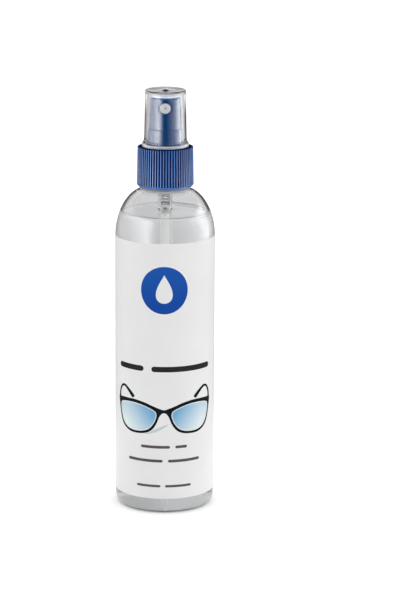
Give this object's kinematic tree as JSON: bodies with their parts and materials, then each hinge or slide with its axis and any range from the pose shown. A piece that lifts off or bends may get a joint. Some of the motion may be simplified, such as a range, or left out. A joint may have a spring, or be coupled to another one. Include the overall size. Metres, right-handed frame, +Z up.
{
  "type": "lens cleaning spray bottle",
  "caption": "Clear round plastic bottle with a wrap label, a ribbed screw collar, a push-button fine-mist pump and a clear overcap.",
  "frame": {"origin": "on the bottle's axis, in the plane of the foot ring it stands on", "axes": "+Z up along the bottle's axis; the nozzle and the front of the label face -Y"},
  "size_m": [0.0484, 0.0484, 0.2046],
  "materials": {
    "bottle": "clear blow-moulded PET",
    "label": "satin white printed film",
    "cleaning_fluid": "clear liquid",
    "screw_collar": "satin blue moulded PP",
    "pump_tower": "satin blue moulded PP",
    "pump_housing": "natural translucent PP",
    "neck_gasket": "white foamed PE",
    "stem_guide": "natural PP",
    "stem_gasket": "soft light elastomer",
    "dip_tube": "natural PE tube",
    "return_spring": "bright stainless wire",
    "pump_stem": "white POM",
    "valve_pin": "white POM",
    "piston_spring": "bright stainless wire",
    "piston_seal": "natural PE",
    "check_ball": "polished stainless ball",
    "actuator_button": "satin blue moulded PP",
    "nozzle_insert": "white POM",
    "overcap": "clear moulded PP"
  },
  "bodies": {
    "bottle": {"bottle": "bottle", "label": "label", "cleaning_fluid": "cleaning_fluid"},
    "pump": {"pump_tower": "pump_tower", "pump_housing": "pump_housing", "neck_gasket": "neck_gasket", "stem_guide": "stem_guide", "stem_gasket": "stem_gasket", "dip_tube": "dip_tube", "return_spring": "return_spring"},
    "collar": {"screw_collar": "screw_collar"},
    "overcap": {"overcap": "overcap"},
    "plunger": {"pump_stem": "pump_stem", "valve_pin": "valve_pin", "piston_spring": "piston_spring"},
    "piston": {"piston_seal": "piston_seal"},
    "ball": {"check_ball": "check_ball"},
    "button": {"actuator_button": "actuator_button", "nozzle_insert": "nozzle_insert"}
  },
  "joints": [
    {"name": "pump_lift", "type": "slide", "parent": "bottle", "child": "pump", "axis": [0, 0, 1], "range_m": [0, 0.0048]},
    {"name": "collar_turn", "type": "hinge", "parent": "pump", "child": "collar", "pos_m": [0, 0, 0.1672], "axis": [0, 0, 1], "range_deg": [0, 540]},
    {"name": "overcap_lift", "type": "slide", "parent": "pump", "child": "overcap", "axis": [0, 0, 1], "range_m": [0, 0.045]},
    {"name": "actuator_press", "type": "slide", "parent": "pump", "child": "plunger", "axis": [0, 0, -1], "range_m": [0, 0.0048], "stiffness_N_per_m": 1000, "springref_m": -0.005, "deforming": ["return_spring"]},
    {"name": "piston_slip", "type": "slide", "parent": "plunger", "child": "piston", "axis": [0, 0, 1], "range_m": [0, 0.0008], "stiffness_N_per_m": 1000, "springref_m": -0.001, "deforming": ["piston_spring"]},
    {"name": "ball_lift", "type": "slide", "parent": "pump", "child": "ball", "axis": [0, 0, 1], "range_m": [0, 0.001]},
    {"name": "actuator_turn", "type": "hinge", "parent": "plunger", "child": "button", "pos_m": [0, 0, 0.192], "axis": [0, 0, 1], "continuous": true}
  ],
  "couplings": [
    {"joint": "pump_lift", "follows": "collar_turn", "m_per_rad": 0.00050531}
  ]
}
